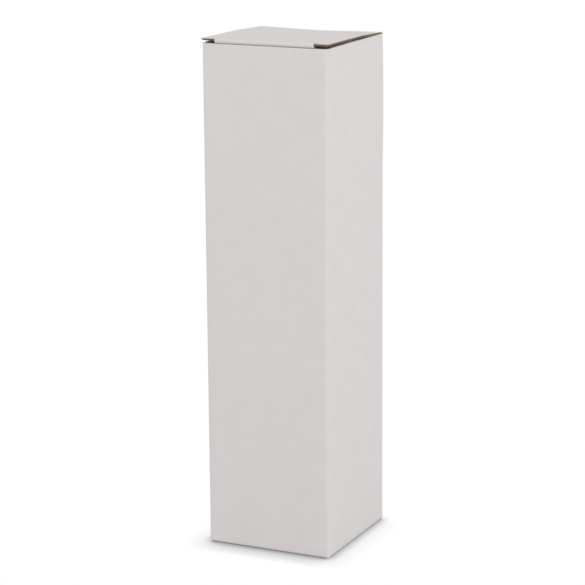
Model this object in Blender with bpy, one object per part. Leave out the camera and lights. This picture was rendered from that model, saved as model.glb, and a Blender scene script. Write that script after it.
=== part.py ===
"""Gift box for a vacuum flask: one die-cut blank of E-flute corrugated board.

The blank is folded into a tall tube, glued at one seam, snapped shut at the bottom and closed
at the top by a tuck lid with slit ears. Every panel of the blank is one object here, parted
from its neighbours at the creases. Lengths are in metres, angles in degrees and +Z is up.
X runs across the front, Y from front to back, and the origin is on the floor, under the middle.
"""

import math

import bmesh
import bpy
from mathutils import Matrix, Vector

# The tube
WIDTH = 0.0700
DEPTH = 0.0720
HEIGHT = 0.2670
BOARD = 0.0015
FOLD_INNER_RADIUS = 0.0003
GAP = 0.0003
OVERRUN = 0.0040

# The fluted sheet inside the board
FLUTE_PITCH = 0.0033
LINER = 0.00025
FLUTE_WALL = 0.00035
FLUTE_CREST = 0.0005
CREASE_CRUSH = 0.0022
EDGE_CRUSH = 0.0008

# The lid
LID_OVERHANG = 0.0005
LID_FRONT_SETBACK = 0.00035
LID_TILT = 0.55
EAR_WIDTH = 0.0075
EAR_CORNER_RADIUS = 0.0008
SLIT = 0.0003

# The tuck flap
TUCK_LENGTH = 0.0165
TUCK_LEAN = 8.6
TUCK_FOLD_SETBACK = 0.0003
TUCK_FOLD_CLEARANCE = 0.0004
TUCK_CORNER_RADIUS = 0.0060
SHOULDER_DROP = 0.0020
SHOULDER_SIDE_CLEARANCE = 0.0024
SHOULDER_CORNER_RADIUS = 0.0010

# The dust flaps
DUST_TIP_GAP = 0.0025
DUST_FRONT_SETBACK = 0.0056
DUST_REAR_SLOPE = 0.55
DUST_FRONT_CORNER_RADIUS = 0.0060
DUST_REAR_CORNER_RADIUS = 0.0030

# The glued seam
GLUE_FLAP_LENGTH = 0.0150
GLUE_FLAP_TOP_SETBACK = 0.0060
GLUE_FLAP_BOTTOM_SETBACK = 0.0080
GLUE_FLAP_TAPER = 15.0
SEAM_SETBACK = 0.0005

# The snap-lock bottom
MITRE_CLEARANCE = 0.0007
LOCK_HALF_WIDTH = 0.0190
LOCK_CORNER_RADIUS = 0.0030
FRONT_PANEL_END = 0.0020
TONGUE_HALF_WIDTH = 0.0120
TONGUE_RAMP = 0.0100
TONGUE_LAP = 0.0120
TONGUE_CORNER_RADIUS = 0.0050
TONGUE_SIDE_CLEARANCE = 0.0010
SLOT_END_CLEARANCE = 0.0005
HORN_LENGTH = 0.0200
HORN_TIP_SHARE = 0.35
RAMP_CLEARANCE = 0.00075
BACK_RAMP = 0.0085
SIDE_RAMP = 0.0050

# Facets of the round stretches, each over a quarter turn
FOLD_STEPS = 5
CORNER_STEPS = 5
HINGE_STEPS = 4

# Worked out from the sizes above
FOLD_RADIUS = BOARD + FOLD_INNER_RADIUS
HALF_WIDTH = WIDTH / 2
HALF_DEPTH = DEPTH / 2
HALF_BOARD = BOARD / 2
LAYER = BOARD + GAP

BOTTOM_HINGE_Z = HALF_BOARD
WALL_FOOT_Z = BOARD + GAP
DUST_HINGE_X = HALF_WIDTH - HALF_BOARD
DUST_HINGE_Z = HEIGHT - HALF_BOARD
SIDE_WALL_TOP_Z = DUST_HINGE_Z - HALF_BOARD - GAP

LID_HINGE_Y = HALF_DEPTH - HALF_BOARD
LID_HINGE_Z = HEIGHT + GAP + HALF_BOARD
LID_HALF_WIDTH = HALF_WIDTH + LID_OVERHANG
LID_LENGTH = LID_HINGE_Y + HALF_DEPTH - LID_FRONT_SETBACK
LID_RISE = math.tan(math.radians(LID_TILT))

TUCK_HINGE_Y = -HALF_DEPTH + BOARD + GAP + HALF_BOARD
TUCK_HINGE_Z = LID_HINGE_Z + (LID_HINGE_Y - TUCK_HINGE_Y) * LID_RISE
TUCK_HALF_WIDTH = LID_HALF_WIDTH - EAR_WIDTH - SLIT

SLOT_HALF_WIDTH = TONGUE_HALF_WIDTH + TONGUE_SIDE_CLEARANCE
RAMP_END = HALF_WIDTH - HALF_BOARD - LOCK_HALF_WIDTH - RAMP_CLEARANCE

WHITE_LINER = (0.66, 0.64, 0.64, 1.0)
KRAFT_LINER = (0.33, 0.24, 0.17, 1.0)
PAPER_ROUGHNESS = 0.75


def clear_scene():
    for item in list(bpy.data.objects):
        bpy.data.objects.remove(item, do_unlink=True)


def paper(name, colour):
    finish = bpy.data.materials.new(name)
    finish.use_nodes = True
    shader = finish.node_tree.nodes["Principled BSDF"]
    shader.inputs["Base Color"].default_value = colour
    shader.inputs["Roughness"].default_value = PAPER_ROUGHNESS
    shader.inputs["Metallic"].default_value = 0.0
    return finish


def add_object(name, shape):
    """Turn a bmesh into a named object, with its faces pointing out."""
    bmesh.ops.recalc_face_normals(shape, faces=shape.faces)
    mesh = bpy.data.meshes.new(name)
    shape.to_mesh(mesh)
    shape.free()
    item = bpy.data.objects.new(name, mesh)
    bpy.context.collection.objects.link(item)
    return item


def extrude_loop(shape, loop, low, high):
    """Extrude a closed loop of 3D points from its plane: low and high are offset vectors."""
    base = [shape.verts.new(Vector(point) + low) for point in loop]
    face = shape.faces.new(base)
    lifted = bmesh.ops.extrude_face_region(shape, geom=[face])["geom"]
    moved = [part for part in lifted if isinstance(part, bmesh.types.BMVert)]
    bmesh.ops.translate(shape, verts=moved, vec=high - low)


def plan_prism(name, loop, low, high):
    """A prism on a loop of (x, y) points, from one height to another."""
    shape = bmesh.new()
    points = [(x, y, 0) for x, y in loop]
    extrude_loop(shape, points, Vector((0, 0, low)), Vector((0, 0, high)))
    return add_object(name, shape)


def side_prism(name, loops, low, high):
    """Prisms on loops of (y, z) points, along X. More than one loop makes separate prisms."""
    shape = bmesh.new()
    for loop in loops:
        points = [(0, y, z) for y, z in loop]
        extrude_loop(shape, points, Vector((low, 0, 0)), Vector((high, 0, 0)))
    return add_object(name, shape)


def cut(item, tool, operation):
    """Boolean one object by a tool that stays out of the model."""
    tool.hide_render = True
    tool.display_type = "WIRE"
    tool.matrix_world = item.matrix_world
    modifier = item.modifiers.new(tool.name, "BOOLEAN")
    modifier.operation = operation
    modifier.solver = "EXACT"
    modifier.object = tool


def arc(centre, radius, start, end, steps):
    """Points on a circular arc in a plane, between two angles in degrees."""
    points = []
    for step in range(steps + 1):
        angle = math.radians(start + (end - start) * step / steps)
        points.append((centre[0] + radius * math.cos(angle), centre[1] + radius * math.sin(angle)))
    return points


def rounded(corners):
    """A closed outline from (x, y, radius) corners, each corner rounded by its radius."""
    points = []
    count = len(corners)
    for index, (x, y, radius) in enumerate(corners):
        here = Vector((x, y))
        if radius == 0:
            points.append((x, y))
            continue
        before = Vector(corners[index - 1][:2]) - here
        after = Vector(corners[(index + 1) % count][:2]) - here
        before.normalize()
        after.normalize()
        half_angle = before.angle(after) / 2
        middle = (before + after).normalized()
        centre = here + middle * radius / math.sin(half_angle)
        reach = radius / math.tan(half_angle)
        first = here + before * reach - centre
        turn = first.angle_signed(here + after * reach - centre)
        for step in range(CORNER_STEPS + 1):
            spoke = Matrix.Rotation(-turn * step / CORNER_STEPS, 2) @ first
            points.append(tuple(centre + spoke))
    return points


def mirrored(half):
    """A whole outline from the corners of its +X half, listed from the crease to the tip."""
    return half + [(-x, y, radius) for x, y, radius in reversed(half)]


def lift_at(distance, ramp):
    """How far a flap has risen off its first layer, at a distance from its crease."""
    if ramp is None:
        return 0.0
    start, length, rise = ramp
    share = min(max((distance - start) / length, 0.0), 1.0)
    return share * rise


def board_section(reach, ramp):
    """Cross-section of a board, from its rolled crease at zero out to its reach.

    The crease is a half round about the hinge axis. The outer liner is on the + side, and a
    ramp shifts the board towards its inner side, to ride over the flaps that lie below it.
    """
    stations = [0.0, reach]
    if ramp is not None:
        stations = [0.0, ramp[0], ramp[0] + ramp[1], reach]
    crease = arc((0.0, 0.0), HALF_BOARD, 90.0, 270.0, 2 * HINGE_STEPS)
    inner = [(d, -HALF_BOARD - lift_at(d, ramp)) for d in stations[1:]]
    outer = [(d, HALF_BOARD - lift_at(d, ramp)) for d in reversed(stations[1:])]
    return crease + inner + outer


def flute_sections(end, ramp):
    """Cross-sections of the open flutes, two to each pitch, between the crushed edges."""
    half_core = HALF_BOARD - LINER
    narrow = FLUTE_CREST / 2
    wide = FLUTE_PITCH / 2 - FLUTE_WALL - narrow
    first = CREASE_CRUSH + wide
    cells = int((end - EDGE_CRUSH - wide - first) / (FLUTE_PITCH / 2)) + 1
    sections = []
    for cell in range(cells):
        middle = first + cell * FLUTE_PITCH / 2
        side = 1 if cell % 2 else -1
        corners = [(-wide, side), (wide, side), (narrow, -side), (-narrow, -side)]
        section = []
        for along, edge in corners:
            distance = middle + along
            section.append((distance, edge * half_core - lift_at(distance, ramp)))
        sections.append(section)
    return sections


def flap(name, finish, hinge, into, outward, outline, ramp=None, section=None):
    """A fluted flap, die-cut to its outline and hinged on its crease.

    In its own frame the crease lies along X, the flap runs out along +Y and its white side
    faces +Z. The outline is in that frame too, and runs past the crease.
    """
    reach = max(point[1] for point in outline)
    half_run = max(abs(point[0]) for point in outline) + OVERRUN
    if section is None:
        section = board_section(reach + OVERRUN, ramp)
    board = side_prism(name, [section], -half_run, half_run)
    along = Vector(into).cross(Vector(outward))
    turn = Matrix((along, into, outward)).transposed()
    board.matrix_world = Matrix.Translation(hinge) @ turn.to_4x4()
    run = half_run + OVERRUN
    flutes = side_prism(name + "_flute_tool", flute_sections(reach, ramp), -run, run)
    cut(board, flutes, "DIFFERENCE")
    depth = OVERRUN + (ramp[2] if ramp else 0.0)
    die = plan_prism(name + "_die", outline, -depth, OVERRUN)
    cut(board, die, "INTERSECT")
    board.data.materials.append(finish)
    return board


def bent_wall_loop(left, right, face, inward):
    """Plan of a wall whose two vertical folds turn inward, away from its outer face."""
    centre_y = face + inward * FOLD_RADIUS
    low = 180.0
    middle = 180.0 + inward * 90.0
    high = 180.0 + inward * 180.0
    left_centre = (left + FOLD_RADIUS, centre_y)
    right_centre = (right - FOLD_RADIUS, centre_y)
    outer = arc(left_centre, FOLD_RADIUS, low, middle, FOLD_STEPS)
    outer += arc(right_centre, FOLD_RADIUS, middle, high, FOLD_STEPS)
    inner = arc(right_centre, FOLD_INNER_RADIUS, high, middle, FOLD_STEPS)
    inner += arc(left_centre, FOLD_INNER_RADIUS, middle, low, FOLD_STEPS)
    return outer + inner


def bent_wall(name, finish, left, right, face, inward):
    """A wall with a fold down each side, and a recess at its foot for the bottom flap."""
    wall = plan_prism(name, bent_wall_loop(left, right, face, inward), 0.0, HEIGHT)
    front, back = face - OVERRUN, face + OVERRUN
    start, end = left + FOLD_RADIUS, right - FOLD_RADIUS
    recess_loop = [(start, front), (end, front), (end, back), (start, back)]
    recess = plan_prism(name + "_foot_recess", recess_loop, -OVERRUN, WALL_FOOT_Z)
    cut(wall, recess, "DIFFERENCE")
    wall.data.materials.append(finish)
    return wall


def standing_board(name, finish, middle_x, foot, outline):
    """An upright board facing left. Its flutes run level, so its upright cut edges show them.

    The outline is in (-y, height above the foot), as the board is seen from its white side.
    """
    height = max(point[1] for point in outline)
    low, high = -OVERRUN, height + OVERRUN
    section = [(low, -HALF_BOARD), (high, -HALF_BOARD), (high, HALF_BOARD), (low, HALF_BOARD)]
    place = Vector((middle_x, 0, foot))
    return flap(name, finish, place, (0, 0, 1), (-1, 0, 0), outline, section=section)


def build_tube(white, kraft):
    """The four walls and the glued seam, which is at the back of the left side."""
    seam_face = -HALF_WIDTH + BOARD + GAP
    strip_end = HALF_DEPTH - FOLD_RADIUS - GAP
    bent_wall("front_wall", white, -HALF_WIDTH, HALF_WIDTH, -HALF_DEPTH, 1)
    bent_wall("back_wall", white, seam_face, HALF_WIDTH, HALF_DEPTH, -1)

    inner, outer = HALF_WIDTH - BOARD, HALF_WIDTH
    loop = [(inner, -strip_end), (outer, -strip_end), (outer, strip_end), (inner, strip_end)]
    right = plan_prism("right_wall", loop, WALL_FOOT_Z, SIDE_WALL_TOP_Z)
    right.data.materials.append(white)

    seam = SEAM_SETBACK - HALF_DEPTH
    height = SIDE_WALL_TOP_Z - WALL_FOOT_Z
    outline = [(seam, 0), (strip_end, 0), (strip_end, height), (seam, height)]
    standing_board("left_wall", white, HALF_BOARD - HALF_WIDTH, WALL_FOOT_Z, outline)

    tip = GLUE_FLAP_LENGTH - strip_end
    drop = GLUE_FLAP_LENGTH * math.tan(math.radians(GLUE_FLAP_TAPER))
    height = HEIGHT - GLUE_FLAP_TOP_SETBACK - GLUE_FLAP_BOTTOM_SETBACK
    outline = [(-strip_end, 0), (tip, drop), (tip, height - drop), (-strip_end, height)]
    middle_x = seam_face + HALF_BOARD
    standing_board("glue_flap", kraft, middle_x, GLUE_FLAP_BOTTOM_SETBACK, outline)


def build_lid(white):
    """The lid: its front corners are ears, left standing forward of the tuck fold by a slit."""
    tuck_line = LID_HINGE_Y - TUCK_HINGE_Y - HALF_BOARD - GAP
    ear_start = LID_HALF_WIDTH - EAR_WIDTH
    half = [
        (LID_HALF_WIDTH, -OVERRUN, 0),
        (LID_HALF_WIDTH, LID_LENGTH, EAR_CORNER_RADIUS),
        (ear_start, LID_LENGTH, 0),
        (ear_start, tuck_line, 0),
    ]
    tilt = math.radians(LID_TILT)
    into = (0, -math.cos(tilt), math.sin(tilt))
    outward = (0, math.sin(tilt), math.cos(tilt))
    hinge = Vector((0, LID_HINGE_Y, LID_HINGE_Z))
    flap("lid_panel", white, hinge, into, outward, rounded(mirrored(half)))


def tuck_section(into, outward):
    """The tuck flap's section: its crease bulges forward, over the front wall's cut edge."""
    hinge = Vector((TUCK_HINGE_Y, TUCK_HINGE_Z))
    lid_top = TUCK_HINGE_Z + HALF_BOARD
    roll_foot = HEIGHT + TUCK_FOLD_CLEARANCE
    roll_radius = (lid_top - roll_foot) / 2
    roll_y = -HALF_DEPTH + TUCK_FOLD_SETBACK + roll_radius
    roll = arc((roll_y, lid_top - roll_radius), roll_radius, 90.0, 270.0, 2 * FOLD_STEPS)
    heel = arc(hinge, HALF_BOARD, -TUCK_LEAN, 90.0, HINGE_STEPS)
    points = []
    for y, z in heel + roll:
        offset = Vector((0, y, z)) - Vector((0, hinge[0], hinge[1]))
        points.append((offset.dot(Vector(into)), offset.dot(Vector(outward))))
    outer_start = TUCK_HINGE_Z - roll_foot
    reach = TUCK_LENGTH + OVERRUN
    points += [(outer_start, HALF_BOARD), (reach, HALF_BOARD), (reach, -HALF_BOARD)]
    return points


def build_tuck(white):
    """The tuck flap, with shoulders that pass under the lid's ears."""
    shoulder = HALF_WIDTH - BOARD - SHOULDER_SIDE_CLEARANCE
    half = [
        (TUCK_HALF_WIDTH, -OVERRUN, 0),
        (TUCK_HALF_WIDTH, SHOULDER_DROP, 0),
        (shoulder, SHOULDER_DROP, SHOULDER_CORNER_RADIUS),
        (shoulder, TUCK_LENGTH, TUCK_CORNER_RADIUS),
    ]
    lean = math.radians(TUCK_LEAN)
    into = (0, math.sin(lean), -math.cos(lean))
    outward = (0, -math.cos(lean), -math.sin(lean))
    hinge = Vector((0, TUCK_HINGE_Y, TUCK_HINGE_Z))
    section = tuck_section(into, outward)
    flap("tuck_flap", white, hinge, into, outward, rounded(mirrored(half)), section=section)


def build_dust_flaps(white):
    """A pair of dust flaps. Their rear edges slope, so that the lid lifts ahead of them."""
    fold_end = HALF_DEPTH - FOLD_RADIUS - GAP
    front = HALF_DEPTH - BOARD - DUST_FRONT_SETBACK
    tip = DUST_HINGE_X - DUST_TIP_GAP / 2
    rear = fold_end - tip * DUST_REAR_SLOPE
    for name, side in (("right_dust_flap", 1), ("left_dust_flap", -1)):
        corners = [
            (-fold_end, -OVERRUN, 0),
            (-fold_end, 0, 0),
            (-front, fold_end - front, 0),
            (-front, tip, DUST_FRONT_CORNER_RADIUS),
            (rear, tip, DUST_REAR_CORNER_RADIUS),
            (fold_end, 0, 0),
            (fold_end, -OVERRUN, 0),
        ]
        outline = rounded([(side * x, y, radius) for x, y, radius in corners])
        hinge = Vector((side * DUST_HINGE_X, 0, DUST_HINGE_Z))
        flap(name, white, hinge, (-side, 0, 0), (0, 0, 1), outline)


def mitre(limit, half_side, tip):
    """Corners of a bottom flap's slanted shoulder, from its fold's end to its narrower part.

    limit is the fold's half length, half_side half the side that the fold lies on, and tip
    the half width that the flap has left where its shoulder ends.
    """
    edge = half_side - MITRE_CLEARANCE - HALF_BOARD
    return [(limit, -OVERRUN, 0), (limit, edge - limit, 0), (tip, edge - tip, 0)]


def build_front_bottom(white):
    """The front bottom flap is the outermost, and its tongue locks over the back one."""
    limit = HALF_WIDTH - FOLD_RADIUS - GAP
    hinge_y = -HALF_DEPTH + HALF_BOARD
    panel_end = -FRONT_PANEL_END - hinge_y
    tip = panel_end + TONGUE_RAMP + TONGUE_LAP
    half = mitre(limit, HALF_WIDTH, LOCK_HALF_WIDTH)
    half += [
        (LOCK_HALF_WIDTH, panel_end, LOCK_CORNER_RADIUS),
        (TONGUE_HALF_WIDTH, panel_end, 0),
        (TONGUE_HALF_WIDTH, tip, TONGUE_CORNER_RADIUS),
    ]
    ramp = (panel_end, TONGUE_RAMP, 3 * LAYER)
    hinge = Vector((0, hinge_y, BOTTOM_HINGE_Z))
    outline = rounded(mirrored(half))
    flap("bottom_front_flap", white, hinge, (0, 1, 0), (0, 0, -1), outline, ramp)


def build_side_bottoms(white):
    """The two side bottom flaps lie on the front one."""
    limit = HALF_DEPTH - FOLD_RADIUS - GAP
    half_tip = LOCK_HALF_WIDTH + HALF_DEPTH - HALF_WIDTH
    hinge_x = HALF_WIDTH - HALF_BOARD
    for name, side in (("bottom_right_flap", 1), ("bottom_left_flap", -1)):
        half = mitre(limit, HALF_DEPTH, half_tip)
        half += [(half_tip, hinge_x - SLOT_HALF_WIDTH, LOCK_CORNER_RADIUS)]
        ramp = (RAMP_END - SIDE_RAMP, SIDE_RAMP, LAYER)
        hinge = Vector((side * hinge_x, 0, BOTTOM_HINGE_Z))
        outline = rounded(mirrored(half))
        flap(name, white, hinge, (-side, 0, 0), (0, 0, -1), outline, ramp)


def build_back_bottom(white):
    """The back bottom flap is the innermost. Its slot takes the tongue, between two horns."""
    hinge_y = HALF_DEPTH - HALF_BOARD
    lap_start = TONGUE_RAMP - FRONT_PANEL_END + SLOT_END_CLEARANCE
    slot_end = hinge_y - lap_start
    horn_end = slot_end + HORN_LENGTH
    right_limit = HALF_WIDTH - FOLD_RADIUS - GAP
    left_limit = right_limit - BOARD - GAP
    tip_radius = HORN_TIP_SHARE * (LOCK_HALF_WIDTH - SLOT_HALF_WIDTH)
    half = [
        (LOCK_HALF_WIDTH, horn_end, tip_radius),
        (SLOT_HALF_WIDTH, horn_end, tip_radius),
        (SLOT_HALF_WIDTH, slot_end, 0),
    ]
    right = mitre(right_limit, HALF_WIDTH, LOCK_HALF_WIDTH)
    left = mitre(left_limit, HALF_WIDTH, LOCK_HALF_WIDTH)
    corners = right + mirrored(half) + [(-x, y, radius) for x, y, radius in reversed(left)]
    ramp = (RAMP_END - BACK_RAMP, BACK_RAMP, 2 * LAYER)
    hinge = Vector((0, hinge_y, BOTTOM_HINGE_Z))
    outline = rounded(corners)
    flap("bottom_back_flap", white, hinge, (0, -1, 0), (0, 0, -1), outline, ramp)


def main():
    clear_scene()
    white = paper("white_lined_board", WHITE_LINER)
    kraft = paper("kraft_lined_board", KRAFT_LINER)
    build_tube(white, kraft)
    build_lid(white)
    build_tuck(white)
    build_dust_flaps(white)
    build_front_bottom(white)
    build_side_bottoms(white)
    build_back_bottom(white)
    bpy.context.view_layer.update()


main()
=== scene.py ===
# %% [markdown]
# # A gift box for a vacuum flask, made of corrugated board
#
# The real box is one flat blank of E-flute board, about 1.5 mm thick. The board is three
# papers: a white liner outside, a brown fluted sheet in the middle and a brown liner inside.
# A steel-rule die cuts the blank and presses its creases, and then it is folded, glued at
# one seam and snapped shut at the bottom. This lesson builds that board and folds it.
#
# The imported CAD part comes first. It is the frame: every panel here lies where its node lies.

import math

import bmesh
import bpy
from mathutils import Matrix, Vector


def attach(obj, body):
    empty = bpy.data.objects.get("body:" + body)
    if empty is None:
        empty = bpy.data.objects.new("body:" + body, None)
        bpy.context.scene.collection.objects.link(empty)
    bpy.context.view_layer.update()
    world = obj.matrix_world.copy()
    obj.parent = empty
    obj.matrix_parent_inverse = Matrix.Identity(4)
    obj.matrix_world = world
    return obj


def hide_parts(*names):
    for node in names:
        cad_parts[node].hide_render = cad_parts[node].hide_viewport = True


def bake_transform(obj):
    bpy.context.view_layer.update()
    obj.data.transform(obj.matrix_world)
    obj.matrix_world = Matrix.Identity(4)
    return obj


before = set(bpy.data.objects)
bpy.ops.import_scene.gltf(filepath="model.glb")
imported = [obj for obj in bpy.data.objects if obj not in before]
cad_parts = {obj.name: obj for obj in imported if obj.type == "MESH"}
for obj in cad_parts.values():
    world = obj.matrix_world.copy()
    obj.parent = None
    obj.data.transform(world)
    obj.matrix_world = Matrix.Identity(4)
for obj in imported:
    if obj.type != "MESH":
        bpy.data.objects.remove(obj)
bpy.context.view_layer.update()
bpy.ops.object.select_all(action="DESELECT")
bpy.context.scene.view_settings.view_transform = "Standard"

# %% [markdown]
# ## Sizes
#
# All sizes are in metres and repeat the CAD part's own values. The board's make-up matters
# most: E-flute has a flute about every 3.3 mm, and its papers are about a quarter of a
# millimetre thick. A paper as thin as that still shows at a cut edge, so it is modelled.

# %% Sizes of the box and of its board
MM = 0.001
WIDTH = 70 * MM
DEPTH = 72 * MM
HEIGHT = 267 * MM
BOARD = 1.5 * MM
GAP = 0.3 * MM
HALF_BOARD = BOARD / 2
HALF_WIDTH = WIDTH / 2
HALF_DEPTH = DEPTH / 2
FOLD_RADIUS = 1.8 * MM
LAYER = BOARD + GAP

PAPER = 0.25 * MM
FLUTE_PITCH = 3.3 * MM
FLUTE_STEPS = 10
FLUTE_HEIGHT = BOARD - 3 * PAPER

FOOT = 3.0 * MM
SHOULDER = 263.0 * MM
LID_TILT = math.radians(0.55)
TUCK_LEAN = math.radians(8.6)

LID_HINGE = Vector((0, HALF_DEPTH - HALF_BOARD, HEIGHT + GAP + HALF_BOARD))
TUCK_Y = -HALF_DEPTH + BOARD + GAP + HALF_BOARD
TUCK_HINGE = Vector((0, TUCK_Y, LID_HINGE.z + (LID_HINGE.y - TUCK_Y) * math.tan(LID_TILT)))
DUST_HINGE = Vector((HALF_WIDTH - HALF_BOARD, 0, HEIGHT - HALF_BOARD))
print("lid crease", LID_HINGE, "tuck crease", TUCK_HINGE)

# %% [markdown]
# ## Working by selection
#
# Modelling by hand means selecting some corners or faces and moving them. A script does the
# same: it opens edit mode, selects by place, and calls the tool. These few helpers do the
# selecting, so that each later cell reads like a list of modelling steps.

# %% Helpers for edit mode
def edit(piece):
    """Open one piece in edit mode, with nothing in it selected."""
    if bpy.context.object and bpy.context.object.mode == "EDIT":
        bpy.ops.object.mode_set(mode="OBJECT")
    bpy.ops.object.select_all(action="DESELECT")
    piece.select_set(True)
    bpy.context.view_layer.objects.active = piece
    bpy.ops.object.mode_set(mode="EDIT")
    bpy.ops.mesh.select_all(action="DESELECT")


def done():
    """Back to object mode. The piece stays active."""
    bpy.ops.object.mode_set(mode="OBJECT")
    return bpy.context.object


def pick(kind, test):
    """Select the vertices, edges or faces of the piece in edit mode that pass a test."""
    modes = {"verts": "VERT", "edges": "EDGE", "faces": "FACE"}
    bpy.ops.mesh.select_mode(type=modes[kind])
    bpy.ops.mesh.select_all(action="DESELECT")
    mesh = bpy.context.object.data
    shape = bmesh.from_edit_mesh(mesh)
    for part in getattr(shape, kind):
        part.select_set(bool(test(part)))
    shape.select_flush_mode()
    bmesh.update_edit_mesh(mesh)


def middle(part):
    """The middle of an edge or a face."""
    total = Vector()
    for vertex in part.verts:
        total += vertex.co
    return total / len(part.verts)


def move(offset, **options):
    """Shift what is selected. Options such as proportional editing are passed on."""
    bpy.ops.transform.translate(value=offset, **options)


def near(a, b, slack=1e-5):
    """True where two lengths differ by less than the slack, in metres."""
    return abs(a - b) < slack


# %% [markdown]
# ## A sheet from its corners
#
# A die cuts any outline, so the board's pieces start as flat outlines. A circle with as many
# corners as the outline has is a handy start: each corner is then dragged to its place. A
# vertex bevel rounds the corners that a die-maker rounds.

# %% An outline, cut as a die cuts it
CORNER_SEGMENTS = 7
START_RADIUS = 50 * MM


def outline_sheet(name, corners):
    """A flat face from (x, y, radius) corners, listed anticlockwise."""
    bpy.ops.mesh.primitive_circle_add(vertices=len(corners), radius=START_RADIUS,
                                      fill_type="NGON")
    sheet = bpy.context.object
    sheet.name = name
    edit(sheet)
    start = [vertex.co.copy() for vertex in bmesh.from_edit_mesh(sheet.data).verts]
    for index, (x, y, _) in enumerate(corners):
        pick("verts", lambda vertex: vertex.index == index)
        move(Vector((x, y, 0)) - start[index])
    count = len(corners)
    for index, (x, y, radius) in enumerate(corners):
        if radius:
            here = Vector((x, y))
            back = Vector(corners[index - 1][:2]) - here
            ahead = Vector(corners[(index + 1) % count][:2]) - here
            reach = radius / math.tan(back.angle(ahead) / 2)
            pick("verts", lambda vertex: near(vertex.co.x, x) and near(vertex.co.y, y))
            bpy.ops.mesh.bevel(offset=reach, segments=CORNER_SEGMENTS, affect="VERTICES",
                               clamp_overlap=False)
    pick("faces", lambda face: True)
    bpy.ops.mesh.normals_make_consistent(inside=False)
    return done()


def mirrored(half):
    """A whole outline from its +X half, listed from the crease to the tip."""
    return half + [(-x, y, radius) for x, y, radius in reversed(half)]


def trim(piece, y, keep_beyond=True):
    """Cut a flat sheet straight across at y."""
    edit(piece)
    pick("faces", lambda face: True)
    bpy.ops.mesh.bisect(plane_co=(0, y, 0), plane_no=(0, 1, 0), clear_inner=keep_beyond,
                        clear_outer=not keep_beyond)
    return done()


def copy_of(piece, name):
    """A duplicate with its own mesh."""
    bpy.ops.object.select_all(action="DESELECT")
    piece.select_set(True)
    bpy.context.view_layer.objects.active = piece
    bpy.ops.object.duplicate()
    bpy.context.object.name = name
    return bpy.context.object


# %% [markdown]
# ## Finishes
#
# Each paper is its own finish. A material is built from nodes, and one small function adds a
# node with its settings and links. All patterns read Object coordinates. Every piece keeps
# its object at the origin, so a pattern runs on across a fold into the next panel.

# %% Colours and nodes
def srgb(code):
    """A hex colour as the eye reads it, turned to the linear values that Blender uses."""
    values = [int(code[i:i + 2], 16) / 255 for i in (1, 3, 5)]
    linear = [v / 12.92 if v <= 0.04045 else ((v + 0.055) / 1.055) ** 2.4 for v in values]
    return (*linear, 1.0)


def node(tree, kind, settings=None, **links):
    """Add a node. Settings are its own options; links fill its sockets by name."""
    made = tree.nodes.new("ShaderNode" + kind)
    for name, value in (settings or {}).items():
        setattr(made, name, value)
    for name, value in links.items():
        socket = made.inputs[int(name[1:])] if name[1:].isdigit() else made.inputs[
            name.replace("_", " ")]
        if isinstance(value, bpy.types.NodeSocket):
            tree.links.new(value, socket)
        else:
            socket.default_value = value
    return made


def new_finish(name):
    """A material with only its shader and its output, and the mesh's own coordinates."""
    finish = bpy.data.materials.new(name)
    finish.use_nodes = True
    tree = finish.node_tree
    shader = tree.nodes["Principled BSDF"]
    place = node(tree, "TexCoord").outputs["Object"]
    return finish, tree, shader, place


# %% [markdown]
# ### White-top liner
#
# The outer paper is bleached kraft with a thin clay wash: matt, a little warm, and never quite
# even. Three things break up its white: a cloudy formation 8 to 15 mm across, short fibres,
# drawn here along the flutes, and the washboard, where the glued flutes draw the liner in by
# some thousandths of a millimetre. The fibres and the washboard follow the flutes, so the
# finish is made once for each direction that the flutes take. Matt paper scatters nearly all
# its light, so the roughness is high, and the mottle is only a few steps of grey.

# %% The white-top liner
FORMATION = 11 * MM
FIBRE_WIDTH = 0.35 * MM
FIBRE_LENGTH = 2.2 * MM
FIBRE_RELIEF = 0.018 * MM
WASHBOARD_DEPTH = 0.006 * MM


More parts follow.
